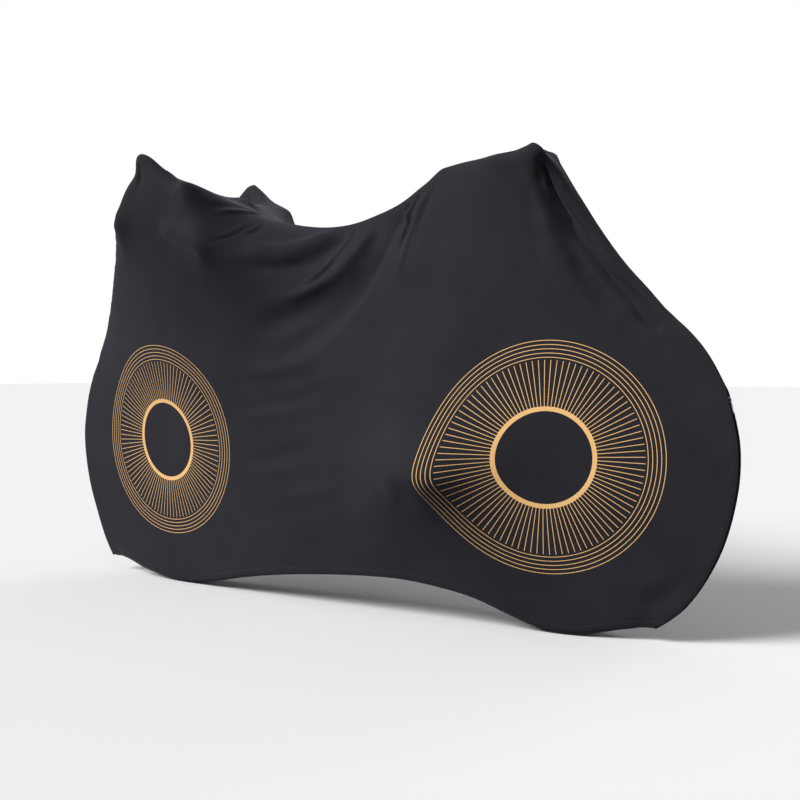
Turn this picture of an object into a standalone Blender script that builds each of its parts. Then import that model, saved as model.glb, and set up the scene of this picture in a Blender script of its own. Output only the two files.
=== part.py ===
"""Fitted stretch-knit cover for a road bicycle, in the shape in which it hangs on one.

Two side panels meet at a seam that runs up the front, along the top and down the back, where the
lower stretch of it is a zip. The cover is hollow and open at its hem. All sizes are in metres.
The tables are written over the floor that the wheels stand on, with x = 0 halfway between the hubs
and +X to the rear; the finished part is then moved so that its origin is the saddle support.
"""
import math

import bmesh
import bpy
import numpy as np
from mathutils import Matrix, Vector

# ---------------------------------------------------------------- driving sizes
HUB_X = 0.51                # the hubs lie this far before and behind the middle
HUB_Z = 0.348               # height of the hubs, which is also the wheel's radius with its cloth
SADDLE_SUPPORT = (0.350, 0.0, 0.948)   # where the saddle carries the cover: the part's origin
CLOTH = 0.0016              # thickness of the cloth
CLEAR = 0.0003              # gap between pieces that touch
SEAM_STRIP = 0.005          # flat run of cloth beside the seam

ZIP_TOP = 0.468             # height of the zip's upper end
ZIP_BOTTOM = 0.014          # the zip ends this far along the seam from the hem
ZIP_GAP = 0.0070            # the panels' edges stand this far apart along the zip
TAPE_EDGE = 0.0064          # the tapes reach this far from the middle
TAPE = 0.0010               # thickness of the tapes
CHAIN_WIDTH = 0.0050
CHAIN_HEIGHT = 0.0022
CHAIN_TOP = CHAIN_HEIGHT - CLOTH        # the chain's crown above the cloth's outer face
SLIDER = (0.0110, 0.0090, 0.0020)      # along the zip, across it, and outwards
ARCH = (0.0070, 0.0030, 0.0032)        # the arch on the slider that holds the pull
ARCH_HOLE = (0.0056, 0.0020)           # its eye, along the zip and outwards
SINK = 0.0003               # the arch starts this far inside the slider's plate
PULL_BAR = 0.0014           # the bar at the top of the pull, and the pull's thickness
PULL = (0.0260, 0.0068)     # length and width of the pull
PULL_EYE = (0.0044, 0.0038)            # hole in the pull round the foot of the arch
SLIDER_ROUND = 0.0006       # rounding of the slider's edges
PULL_ROUND = 0.0020         # rounding of the pull's lower corners

SPAN = 12                   # points of the smooth curve between two rows of a table

# ---------------------------------------------------------------- seam and hem, front to rear
# Wheel stretches of the seam are given about the hub: degrees above the horizontal, radius.
# spread is how far the cloth runs from the seam before it turns down the side.
FRONT_WHEEL = (  # degrees, radius, spread
    (-51.3, 0.395, 0.010),
    (-44.0, 0.380, 0.012),
    (-33.0, 0.362, 0.015),
    (-18.0, 0.351, 0.018),
    (0.0, 0.348, 0.020),
    (18.0, 0.348, 0.022),
    (33.0, 0.350, 0.035),
)
FRONT_SEAM = (  # x, z, spread
    (-0.731, 0.622, 0.060),
    (-0.660, 0.708, 0.110),
    (-0.585, 0.792, 0.165),
    (-0.525, 0.850, 0.205),
)
TOP_SEAM = (  # x, z, spread
    (-0.525, 0.850, 0.205),
    (-0.430, 0.892, 0.215),
    (-0.325, 0.924, 0.195),
    (-0.275, 0.890, 0.165),
    (-0.215, 0.864, 0.130),
    (-0.147, 0.846, 0.100),
    (-0.070, 0.836, 0.075),
    (0.000, 0.838, 0.062),
    (0.065, 0.852, 0.050),
    (0.130, 0.874, 0.040),
    (0.190, 0.909, 0.032),
    (0.243, 0.938, 0.030),
    (0.310, 0.949, 0.038),
    (0.400, 0.950, 0.060),
    (0.463, 0.956, 0.070),
)
REAR_SEAM = (  # x, z, spread
    (0.463, 0.956, 0.070),
    (0.492, 0.936, 0.066),
    (0.536, 0.867, 0.058),
    (0.587, 0.788, 0.048),
    (0.636, 0.722, 0.038),
    (0.685, 0.668, 0.030),
)
REAR_WHEEL = (  # degrees, radius, spread
    (53.0, 0.350, 0.024),
    (38.0, 0.350, 0.022),
    (20.0, 0.349, 0.020),
    (0.0, 0.348, 0.020),
    (-20.0, 0.351, 0.018),
    (-36.0, 0.361, 0.015),
    (-49.0, 0.371, 0.012),
    (-58.6, 0.375, 0.010),
)
HEM = (  # x, half width, z
    (-0.757, 0.000, 0.040),
    (-0.690, 0.020, 0.037),
    (-0.610, 0.032, 0.019),
    (-0.500, 0.038, 0.004),
    (-0.380, 0.050, 0.014),
    (-0.270, 0.070, 0.037),
    (-0.160, 0.085, 0.056),
    (-0.050, 0.095, 0.070),
    (0.080, 0.100, 0.081),
    (0.180, 0.100, 0.084),
    (0.265, 0.095, 0.077),
    (0.350, 0.082, 0.060),
    (0.425, 0.062, 0.029),
    (0.490, 0.045, 0.006),
    (0.560, 0.036, 0.003),
    (0.640, 0.022, 0.020),
    (0.704, 0.000, 0.030),
)

# ---------------------------------------------------------------- what the cloth hangs on
# Points that hold the cloth out, with y as the distance from the middle plane and rise as the
# length of cloth between the point and the line where it turns down the side.
LEFT_HOLDS = {  # name: x, y, z, rise
    "seam_at_bar": (-0.325, 0.000, 0.924, 0.195),
    "hood_tip": (-0.418, 0.208, 1.008, 0.000),
    "hood_nub": (-0.448, 0.207, 0.999, 0.000),
    "hood_front": (-0.476, 0.217, 0.930, 0.000),
    "hood_inner": (-0.418, 0.181, 0.998, 0.028),
    "inside_hood": (-0.395, 0.160, 0.938, 0.098),
    "between_hoods": (-0.395, 0.085, 0.900, 0.160),
    "lever": (-0.508, 0.226, 0.857, 0.000),
    "bar_bend": (-0.311, 0.198, 0.932, 0.000),
    "drop_end": (-0.266, 0.211, 0.791, 0.000),
    "shoulder_front": (-0.200, 0.165, 0.763, 0.000),
    "shoulder_middle": (-0.110, 0.115, 0.758, 0.000),
    "shoulder_rear": (-0.035, 0.066, 0.790, 0.000),
    "front_rim": (-0.777, 0.020, 0.560, 0.000),
    "saddle_nose": (0.235, 0.018, 0.933, 0.000),
    "saddle_side": (0.390, 0.060, 0.943, 0.000),
    "saddle_corner": (0.486, 0.071, 0.954, 0.000),
    "back_ridge": (0.562, 0.046, 0.600, 0.000),
    "pedal_front": (0.225, 0.196, 0.300, 0.000),
    "pedal_rear": (0.300, 0.196, 0.297, 0.000),
    "front_hub": (-0.510, 0.058, 0.348, 0.000),
    "rear_hub": (0.510, 0.070, 0.348, 0.000),
}
RIGHT_HOLDS = {
    "seam_at_bar": (-0.325, 0.000, 0.924, 0.195),
    "hood_tip": (-0.449, 0.210, 0.988, 0.000),
    "hood_nub": (-0.486, 0.212, 0.985, 0.000),
    "hood_front": (-0.515, 0.219, 0.915, 0.000),
    "hood_inner": (-0.452, 0.182, 0.980, 0.028),
    "inside_hood": (-0.425, 0.160, 0.924, 0.100),
    "between_hoods": (-0.410, 0.085, 0.896, 0.160),
    "lever": (-0.545, 0.228, 0.842, 0.000),
    "bar_bend": (-0.336, 0.200, 0.918, 0.000),
    "drop_end": (-0.294, 0.220, 0.778, 0.000),
    "shoulder_front": (-0.215, 0.165, 0.758, 0.000),
    "shoulder_middle": (-0.115, 0.115, 0.762, 0.000),
    "shoulder_rear": (-0.035, 0.066, 0.790, 0.000),
    "front_rim": (-0.777, 0.020, 0.560, 0.000),
    "saddle_nose": (0.235, 0.018, 0.933, 0.000),
    "saddle_side": (0.385, 0.060, 0.948, 0.000),
    "saddle_corner": (0.450, 0.072, 0.964, 0.000),
    "back_ridge": (0.555, 0.050, 0.610, 0.000),
    "pedal_front": (-0.115, 0.196, 0.246, 0.000),
    "pedal_rear": (-0.035, 0.196, 0.249, 0.000),
    "front_hub": (-0.510, 0.058, 0.348, 0.000),
    "rear_hub": (0.510, 0.088, 0.348, 0.000),
}
# Lines along which the cloth is drawn tight between two of those points.
RIDGES = (  # from, to, sag inwards and downwards at the middle
    ("seam_at_bar", "bar_bend", 0.000, 0.006),
    ("hood_tip", "bar_bend", 0.000, 0.006),
    ("hood_tip", "hood_nub", 0.000, 0.000),
    ("hood_nub", "hood_front", 0.000, 0.000),
    ("hood_front", "lever", 0.000, 0.000),
    ("lever", "drop_end", 0.008, 0.000),
    ("bar_bend", "drop_end", 0.004, 0.000),
    ("drop_end", "shoulder_front", 0.000, 0.000),
    ("shoulder_front", "shoulder_middle", 0.000, 0.004),
    ("shoulder_middle", "shoulder_rear", 0.000, 0.004),
    ("lever", "front_rim", 0.008, 0.000),
    ("saddle_nose", "saddle_side", 0.000, 0.000),
    ("saddle_side", "saddle_corner", 0.000, 0.000),
    ("saddle_corner", "back_ridge", 0.004, 0.000),
    ("pedal_front", "pedal_rear", 0.000, 0.000),
)

COLUMNS = {"left": 60, "right": 44}     # cells along the bicycle
ROWS = 34                               # cells from the hem to the top seam
COLUMN_CROWDING = (  # share of the length, relative crowding of the columns there
    (0.00, 1.6), (0.30, 1.6), (0.40, 1.0), (0.78, 1.0), (0.88, 1.6), (1.00, 1.8),
)
ROW_CROWDING = ((0.0, 1.0), (0.5, 1.0), (0.7, 1.6), (1.0, 1.8))

PATTERN_MIDDLE = (0.0, 0.35)            # x and z that the pattern's edges are drawn out from
PATTERN_LEAN = 0.35                     # below 1 the pattern's top is drawn out more upwards
RIDGE_HOLD = 12.0           # how firmly a ridge keeps the cloth, against the cloth's own pull of 1
RIDGE_STEP = 0.035          # distance between the places that a ridge keeps
EASING = 3                  # passes that round off the sharp bends at the holds
CORRECTIONS = 8             # times that the holds are pushed out again after the easing
STEEPEST = 0.6              # limit on how much thicker the sheet gets at a bend, as a cosine


# ---------------------------------------------------------------- curves
def smooth_path(points, count_per_span=12):
    """Catmull-Rom curve through the rows of a table, any number of columns."""
    p = np.asarray(points, float)
    ends = np.vstack([2 * p[0] - p[1], p, 2 * p[-1] - p[-2]])
    out = []
    for k in range(1, len(ends) - 2):
        a, b, c, d = ends[k - 1:k + 3]
        for t in np.linspace(0, 1, count_per_span, endpoint=False):
            out.append(0.5 * (2 * b + (c - a) * t + (2 * a - 5 * b + 4 * c - d) * t ** 2
                              + (3 * b - a - 3 * c + d) * t ** 3))
    out.append(p[-1])
    return np.array(out)


def shares(path):
    """Share of the length at each point of a path, from its first two or three columns."""
    steps = np.linalg.norm(np.diff(path, axis=0), axis=1)
    run = np.concatenate([[0.0], np.cumsum(steps)])
    return run / run[-1], run[-1]


def read_at(path, stations, measure):
    """The path's rows at the given shares of its length."""
    run, _ = shares(measure)
    return np.stack([np.interp(stations, run, path[:, k]) for k in range(path.shape[1])], 1)


def crowded(count, crowding, end_step):
    """Stations from 0 to 1, closer where the crowding is higher, with a narrow first and last step."""
    fine = np.linspace(0, 1, 800)
    weight = np.interp(fine, [row[0] for row in crowding], [row[1] for row in crowding])
    run = np.concatenate([[0.0], np.cumsum((weight[1:] + weight[:-1]) / 2)])
    first, last = end_step
    inside = count + 1 - (first > 0) - (last > 0)
    inner = np.interp(np.linspace(0, 1, inside), run / run[-1], fine)
    inner = first + inner * (1 - first - last)
    start = [0.0] if first else []
    end = [1.0] if last else []
    return np.concatenate([start, inner, end])


def on_wheel(hub_x, side, rows):
    """Rows of degrees, radius and spread about a hub, as rows of x, z and spread."""
    out = []
    for degrees, radius, spread in rows:
        turn = math.radians(degrees)
        out.append((hub_x + side * radius * math.cos(turn), HUB_Z + radius * math.sin(turn), spread))
    return out


def in_pattern(places, reach):
    """Where points of the side view lie in the flat pattern, drawn out from its middle by a reach."""
    places = np.asarray(places, float)
    away = (places - np.array(PATTERN_MIDDLE)) * np.array([PATTERN_LEAN, 1.0])
    return places + away / np.linalg.norm(away, axis=-1, keepdims=True) * np.asarray(reach)[..., None]


def seam_sides():
    """The seam as front, top and rear sides, each with columns x, z, pattern x, pattern z."""
    front = on_wheel(-HUB_X, -1, FRONT_WHEEL) + list(FRONT_SEAM)
    rear = list(REAR_SEAM[1:]) + on_wheel(HUB_X, 1, REAR_WHEEL)
    rows = front + list(TOP_SEAM[1:]) + rear
    path = smooth_path(rows, SPAN)
    path = np.hstack([path[:, :2], in_pattern(path[:, :2], path[:, 2])])
    corner_1 = (len(front) - 1) * SPAN
    corner_2 = corner_1 + (len(TOP_SEAM) - 1) * SPAN
    return path[:corner_1 + 1], path[corner_1:corner_2 + 1], path[corner_2:][::-1]


# ---------------------------------------------------------------- the draped sheet
def row_stations(rear):
    """Where the rows lie up the front and rear seams, as shares of each seam's length.

    The row nearest to the zip's upper end is moved there.
    """
    run, length = shares(rear[:, :2])
    stations = crowded(ROWS, ROW_CROWDING, (0.0, SEAM_STRIP / length))
    zip_end = np.interp(ZIP_TOP, rear[:, 1], run)
    stations[np.argmin(np.abs(stations - zip_end))] = zip_end
    return stations


def pattern_and_edges(side):
    """Grid stations, the flat pattern, and the fixed edge points of one panel."""
    front, top, rear = seam_sides()
    hem = smooth_path(HEM, SPAN)
    across = SEAM_STRIP / shares(top)[1]
    u = crowded(COLUMNS[side], COLUMN_CROWDING, (across, across))
    v = row_stations(rear)
    front = read_at(front, v, front[:, :2])
    rear = read_at(rear, v, rear[:, :2])
    top = read_at(top, u, top[:, :2])
    hem = read_at(hem, u, hem)
    hem_flat = hem[:, [0, 2]]
    low_left, low_right, high_left, high_right = hem_flat[0], hem_flat[-1], top[0, 2:], top[-1, 2:]
    s, t = u[:, None, None], v[None, :, None]
    flat = ((1 - t) * hem_flat[:, None] + t * top[:, None, 2:]
            + (1 - s) * front[None, :, 2:] + s * rear[None, :, 2:]
            - (1 - s) * (1 - t) * low_left - s * (1 - t) * low_right
            - (1 - s) * t * high_left - s * t * high_right)
    return u, v, flat, front, top, rear, hem


def edge_points(u, v, front, top, rear, hem):
    """Grid of known points, with a mask: the hem, the seam, and the flat strip beside the seam."""
    count_u, count_v = len(u), len(v)
    known = np.zeros((count_u, count_v), bool)
    place = np.zeros((count_u, count_v, 3))
    half_gap = CLEAR / 2
    place[:, 0] = hem[:, [0, 1, 2]]
    place[:, 0, 1] = np.maximum(hem[:, 1], half_gap)
    known[:, 0] = True
    zip_half = np.where(rear[:, 1] < ZIP_TOP + CLEAR, ZIP_GAP / 2, half_gap)
    for row in range(count_v):
        for column, inner, edge, half in ((0, 1, front, half_gap), (-1, -2, rear, zip_half[row])):
            place[column, row] = (edge[row, 0], half, edge[row, 1])
            place[inner, row] = (edge[row, 0], half + SEAM_STRIP, edge[row, 1])
    known[[0, 1, -2, -1], :] = True
    for column in range(1, count_u - 1):
        place[column, -1] = (top[column, 0], half_gap, top[column, 1])
        place[column, -2] = (top[column, 0], half_gap + SEAM_STRIP, top[column, 1])
    known[:, -2:] = True
    return known, place


def grid_weights(flat):
    """Tension between neighbouring grid points, for cloth pulled evenly along and across."""
    step_u = np.linalg.norm(np.diff(flat, axis=0), axis=2)
    step_v = np.linalg.norm(np.diff(flat, axis=1), axis=2)
    cell = (step_u[:, 1:] + step_u[:, :-1]) / 2 * (step_v[1:] + step_v[:-1]) / 2
    pull_u = np.zeros_like(step_u)
    pull_u[:, :-1] += cell / 2 / step_u[:, :-1] ** 2
    pull_u[:, 1:] += cell / 2 / step_u[:, 1:] ** 2
    pull_v = np.zeros_like(step_v)
    pull_v[:-1] += cell / 2 / step_v[:-1] ** 2
    pull_v[1:] += cell / 2 / step_v[1:] ** 2
    return pull_u, pull_v


def tension_matrix(flat):
    pull_u, pull_v = grid_weights(flat)
    count = flat.shape[0] * flat.shape[1]
    index = np.arange(count).reshape(flat.shape[:2])
    matrix = np.zeros((count, count))
    for a, b, pull in ((index[:-1], index[1:], pull_u), (index[:, :-1], index[:, 1:], pull_v)):
        a, b, pull = a.ravel(), b.ravel(), pull.ravel()
        np.add.at(matrix, (a, a), pull)
        np.add.at(matrix, (b, b), pull)
        np.add.at(matrix, (a, b), -pull)
        np.add.at(matrix, (b, a), -pull)
    return matrix


def find_in_pattern(flat, spot):
    """The three grid points round a spot of the flat pattern, and their shares of it."""
    index = np.arange(flat.shape[0] * flat.shape[1]).reshape(flat.shape[:2])
    a, b, c, d = index[:-1, :-1], index[1:, :-1], index[1:, 1:], index[:-1, 1:]
    corners = np.stack([np.concatenate([a.ravel(), a.ravel()]),
                        np.concatenate([b.ravel(), c.ravel()]),
                        np.concatenate([c.ravel(), d.ravel()])], 1)
    points = flat.reshape(-1, 2)[corners]
    e1, e2 = points[:, 1] - points[:, 0], points[:, 2] - points[:, 0]
    gap = np.asarray(spot, float) - points[:, 0]
    area = e1[:, 0] * e2[:, 1] - e1[:, 1] * e2[:, 0]
    s = (gap[:, 0] * e2[:, 1] - gap[:, 1] * e2[:, 0]) / area
    t = (e1[:, 0] * gap[:, 1] - e1[:, 1] * gap[:, 0]) / area
    share = np.stack([1 - s - t, s, t], 1)
    best = int(np.argmax(share.min(axis=1)))
    return corners[best], share[best]


def ridge_spots(holds, ridges):
    """Places of the pattern that the ridges keep, with where each is kept."""
    spots = []
    for start, end, sag_in, sag_down in ridges:
        a, b = np.array(holds[start]), np.array(holds[end])
        steps = max(2, round(np.linalg.norm((b - a)[:3]) / RIDGE_STEP))
        for t in np.linspace(0, 1, steps + 1)[1:-1]:
            x, y, z, rise = a + (b - a) * t
            droop = 4 * t * (1 - t)
            spots.append((in_pattern((x, z), rise), (x, y - sag_in * droop, z - sag_down * droop)))
    return spots


def draped(side, holds, ridges):
    """The panel's grid of points, drawn tight between its edges and what holds it out."""
    u, v, flat, front, top, rear, hem = pattern_and_edges(side)
    edge, place = edge_points(u, v, front, top, rear, hem)
    held = {}
    for x, y, z, rise in holds.values():
        apart = np.linalg.norm(flat - in_pattern((x, z), rise), axis=2)
        apart[edge] = np.inf
        if y > SEAM_STRIP:
            held[np.unravel_index(int(np.argmin(apart)), apart.shape)] = np.array((x, y, z))
    matrix = tension_matrix(flat)
    target = np.zeros((len(matrix), 3))
    for spot, point in ridge_spots(holds, ridges):
        corners, share = find_in_pattern(flat, spot)
        matrix[np.ix_(corners, corners)] += RIDGE_HOLD * np.outer(share, share)
        target[corners] += RIDGE_HOLD * share[:, None] * np.array(point)
    known = edge.copy()
    for spot, point in held.items():
        known[spot] = True
        place[spot] = point
    fixed = known.ravel()
    free = ~fixed
    inverse = np.linalg.inv(matrix[np.ix_(free, free)])
    across = matrix[np.ix_(free, fixed)]
    for _ in range(CORRECTIONS):
        points = place.reshape(-1, 3).copy()
        points[free] = inverse @ (target[free] - across @ points[fixed])
        points = eased(points.reshape(place.shape), edge)
        for spot, point in held.items():
            place[spot] += point - points[spot]
    return points


def eased(points, edge):
    """Draw each point inside the edges halfway to the mean of its neighbours, a few times over."""
    inner = ~edge[1:-1, 1:-1, None]
    for _ in range(EASING):
        mean = (points[:-2, 1:-1] + points[2:, 1:-1] + points[1:-1, :-2] + points[1:-1, 2:]) / 4
        middle = points[1:-1, 1:-1]
        points[1:-1, 1:-1] = np.where(inner, (middle + mean) / 2, middle)
    return points


# ---------------------------------------------------------------- folds
# Each fold is a soft ridge (height above 0) or trough (below 0) along a few points of the cloth.
# The points are x and z over the floor, with y as the distance from the middle plane.
FOLDS_LEFT = (  # name, width, height, points
    ("back_trough", 0.038, -0.016, ((0.480, 0.068, 0.925), (0.512, 0.055, 0.837), (0.574, 0.042, 0.733),
                                    (0.655, 0.030, 0.645), (0.700, 0.024, 0.604))),
    ("nose_band", 0.050, -0.009, ((0.104, 0.013, 0.848), (0.081, 0.041, 0.785), (0.071, 0.072, 0.708),
                                  (0.040, 0.096, 0.636), (0.006, 0.110, 0.579))),
    ("sag_ridge", 0.036, 0.007, ((0.044, 0.018, 0.828), (0.030, 0.070, 0.738), (-0.031, 0.100, 0.689),
                                 (-0.121, 0.128, 0.665))),
    ("upper_sag", 0.036, -0.006, ((0.003, 0.013, 0.831), (-0.023, 0.071, 0.773), (-0.070, 0.098, 0.742),
                                  (-0.134, 0.125, 0.734))),
    ("lower_sag", 0.042, -0.009, ((0.051, 0.066, 0.737), (-0.003, 0.098, 0.667), (-0.089, 0.121, 0.630),
                                  (-0.158, 0.131, 0.610))),
    ("middle_wrinkle", 0.040, 0.005, ((-0.238, 0.121, 0.536), (-0.134, 0.121, 0.512),
                                      (-0.020, 0.119, 0.528))),
    ("hood_crease", 0.030, -0.005, ((-0.433, 0.210, 0.990), (-0.429, 0.219, 0.955),
                                    (-0.432, 0.222, 0.915))),
)
FOLDS_RIGHT = (
    ("back_trough", 0.040, -0.014, ((0.465, 0.070, 0.935), (0.500, 0.058, 0.845), (0.560, 0.045, 0.740),
                                    (0.640, 0.032, 0.655))),
    ("nose_band", 0.050, -0.008, ((0.120, 0.013, 0.852), (0.100, 0.041, 0.780), (0.060, 0.080, 0.690),
                                  (0.000, 0.105, 0.600))),
    ("lower_sag", 0.045, -0.008, ((0.030, 0.066, 0.730), (-0.030, 0.098, 0.665), (-0.110, 0.121, 0.640),
                                  (-0.200, 0.140, 0.640))),
    ("middle_wrinkle", 0.045, 0.006, ((-0.260, 0.121, 0.560), (-0.160, 0.121, 0.520),
                                      (-0.060, 0.125, 0.500))),
    ("pedal_fold", 0.050, 0.006, ((0.020, 0.180, 0.300), (0.120, 0.140, 0.380), (0.220, 0.110, 0.470))),
)
FADE_AT_EDGE = 0.010        # folds die out over this distance from the seam and the hem


def nearest_on_path(points, path):
    """Distance from each point to a path of straight runs, and the share of its length there."""
    best = np.full(points.shape[:-1], np.inf)
    share = np.zeros(points.shape[:-1])
    lengths = np.linalg.norm(np.diff(path, axis=0), axis=1)
    start = 0.0
    for a, b, length in zip(path[:-1], path[1:], lengths):
        t = np.clip(((points - a) @ (b - a)) / length ** 2, 0, 1)
        gap = np.linalg.norm(points - (a + t[..., None] * (b - a)), axis=-1)
        closer = gap < best
        best = np.where(closer, gap, best)
        share = np.where(closer, (start + t * length) / lengths.sum(), share)
        start += length
    return best, share


def sheet_normals(points):
    """Outward normals of a panel's grid, with y as the distance from the middle plane."""
    along_u = np.gradient(points, axis=0)
    along_v = np.gradient(points, axis=1)
    normal = np.cross(along_v, along_u)
    return normal / np.maximum(np.linalg.norm(normal, axis=2, keepdims=True), 1e-9)


def fold_heights(points, folds):
    """How far each grid point of a panel moves out for its folds."""
    height = np.zeros(points.shape[:2])
    for _name, width, rise, path in folds:
        path = smooth_path(path, 6)
        gap, share = nearest_on_path(points, path)
        taper = np.sin(np.pi * np.clip(share, 0, 1)) ** 0.5
        height += rise * taper * np.exp(-(gap / (0.5 * width)) ** 2)
    return height


def edge_fade(points):
    """0 at the seam and the hem, 1 further in."""
    fade = np.ones(points.shape[:2])
    edges = (points[0], points[-1], points[:, 0], points[:, -1])
    for edge in edges:
        gap, _share = nearest_on_path(points, edge)
        fade = np.minimum(fade, np.clip((gap - SEAM_STRIP) / FADE_AT_EDGE, 0, 1))
    return fade * fade * (3 - 2 * fade)


def folded(points, folds):
    move = fold_heights(points, folds) * edge_fade(points)
    return points + move[..., None] * sheet_normals(points)


# ---------------------------------------------------------------- Blender objects
def new_material(name, colour, roughness, metallic=0.0):
    material = bpy.data.materials.new(name)
    material.use_nodes = True
    shader = material.node_tree.nodes["Principled BSDF"]
    shader.inputs["Base Color"].default_value = (*colour, 1.0)
    shader.inputs["Roughness"].default_value = roughness
    shader.inputs["Metallic"].default_value = metallic
    return material


def new_object(name, shape, material, collection):
    mesh = bpy.data.meshes.new(name)
    shape.to_mesh(mesh)
    shape.free()
    mesh.materials.append(material)
    obj = bpy.data.objects.new(name, mesh)
    collection.objects.link(obj)
    return obj


def grid_shape(points):
    """A bmesh grid moved to the given points, with columns along its first axis."""
    count_u, count_v = points.shape[0] - 1, points.shape[1] - 1
    shape = bmesh.new()
    bmesh.ops.create_grid(shape, x_segments=count_u, y_segments=count_v, size=1.0)
    for vert in shape.verts:
        column = round((vert.co.x + 1) / 2 * count_u)
        row = round((vert.co.y + 1) / 2 * count_v)
        vert.co = points[column, row]
    return shape


def inner_face(points):
    """The sheet's inner points, one cloth thickness in, with y as the distance from the middle plane."""
    cells = np.cross(points[1:, 1:] - points[:-1, :-1], points[1:, :-1] - points[:-1, 1:])
    flat = cells / np.linalg.norm(cells, axis=2, keepdims=True)
    total = np.zeros_like(points)
    for i, j in ((0, 0), (1, 0), (0, 1), (1, 1)):
        total[i:i + flat.shape[0], j:j + flat.shape[1]] += flat
    for edge in (total[0], total[-1], total[:, -1]):
        edge[:, 1] = 0.0
    normal = total / np.linalg.norm(total, axis=2, keepdims=True)
    lean = np.ones(points.shape[:2])
    for i, j in ((0, 0), (1, 0), (0, 1), (1, 1)):
        near = normal[i:i + flat.shape[0], j:j + flat.shape[1]]
        part_of = lean[i:i + flat.shape[0], j:j + flat.shape[1]]
        np.minimum(part_of, np.sum(near * flat, axis=2), out=part_of)
    return points - normal * (CLOTH / np.maximum(lean, STEEPEST))[..., None]


def closed_sheet(outer, inner, mirrored):
    """A closed sheet between two grids of points; both sides fold on the same diagonals."""
    shape = bmesh.new()
    layers = [[[shape.verts.new(point) for point in column] for column in grid]
              for grid in (outer, inner)]
    last_u, last_v = outer.shape[0] - 1, outer.shape[1] - 1
    rising = np.linalg.norm(outer[1:, 1:] - outer[:-1, :-1], axis=2)
    falling = np.linalg.norm(outer[1:, :-1] - outer[:-1, 1:], axis=2)
    along_rising = rising < falling
    along_rising[0, last_v - 1] = False
    along_rising[last_u - 1, last_v - 1] = True
    rings = []
    for turn, layer in zip((False, True), layers):
        for i in range(last_u):
            for j in range(last_v):
                cell = (layer[i][j], layer[i + 1][j], layer[i + 1][j + 1], layer[i][j + 1])
                first = 0 if along_rising[i, j] else 1
                for corners in ((0, 1, 2), (0, 2, 3)):
                    face = [cell[(first + k) % 4] for k in corners]
                    shape.faces.new(face[::-1] if turn != mirrored else face)
        rings.append([layer[i][0] for i in range(last_u)] + layer[last_u][:last_v]
                     + [layer[i][last_v] for i in range(last_u, 0, -1)] + layer[0][last_v:0:-1])
    count = len(rings[0])
    for k in range(count):
        face = (rings[0][k], rings[1][k], rings[1][(k + 1) % count], rings[0][(k + 1) % count])
        shape.faces.new(face[::-1] if mirrored else face)
    for face in shape.faces:
        face.smooth = True
    return shape


def side_panel(side, holds, folds, material, collection):
    outer = folded(draped(side, holds, RIDGES), folds)
    inner = inner_face(outer)
    if side == "left":
        outer[..., 1] *= -1
        inner[..., 1] *= -1
    origin = np.array(SADDLE_SUPPORT)
    shape = closed_sheet(outer - origin, inner - origin, side == "right")
    return new_object(f"side_panel_{side}", shape, material, collection)


# ---------------------------------------------------------------- the zip
def zip_line():
    """Points of the seam along the zip from its top down, with the outward direction at each."""
    rear = seam_sides()[2]
    edge = read_at(rear, row_stations(rear), rear[:, :2])[:, :2]
    run = edge[edge[:, 1] < ZIP_TOP + CLEAR][::-1]
    last = run[-1] - run[-2]
    run[-1] = run[-1] - last / np.linalg.norm(last) * ZIP_BOTTOM
    along = np.gradient(run, axis=0)
    along /= np.linalg.norm(along, axis=1)[:, None]
    outwards = np.stack([-along[:, 1], along[:, 0]], 1)
    return run, along, outwards


def zip_strip(name, sides, level, thickness, material, collection):
    """A flat strip along the zip between two distances from the middle plane."""
    run, _along, outwards = zip_line()
    flat = run + outwards * level
    rows = [[(x - SADDLE_SUPPORT[0], y, z - SADDLE_SUPPORT[2]) for x, z in flat] for y in sides[::-1]]
    shape = grid_shape(np.array(rows))
    obj = new_object(name, shape, material, collection)
    wall = obj.modifiers.new("strip_thickness", "SOLIDIFY")
    wall.thickness = thickness
    wall.offset = -1.0
    return obj


def box(size, centre):
    shape = bmesh.new()
    bmesh.ops.create_cube(shape, size=1.0)
    bmesh.ops.scale(shape, vec=size, verts=shape.verts)
    bmesh.ops.translate(shape, vec=centre, verts=shape.verts)
    return shape


def zip_frame():
    """Place of the slider: its X runs down the zip, its Y across it and its Z outwards."""
    run, along, outwards = zip_line()
    down = Vector((along[0][0], 0, along[0][1]))
    out = Vector((outwards[0][0], 0, outwards[0][1]))
    across = out.cross(down)
    start = Vector((run[0][0], 0, run[0][1])) - Vector(SADDLE_SUPPORT) + down * SLIDER[0] / 2
    frame = Matrix((down, across, out)).transposed().to_4x4()
    frame.translation = start
    return frame


def cut_or_join(obj, other, operation, guides):
    """A Boolean with a hidden helper object."""
    guides.objects.link(other)
    other.hide_render = True
    other.display_type = "WIRE"
    step = obj.modifiers.new(other.name, "BOOLEAN")
    step.operation = operation
    step.object = other


def helper(name, shape, frame):
    mesh = bpy.data.meshes.new(name)
    shape.to_mesh(mesh)
    shape.free()
    obj = bpy.data.objects.new(name, mesh)
    obj.matrix_world = frame
    return obj


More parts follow.
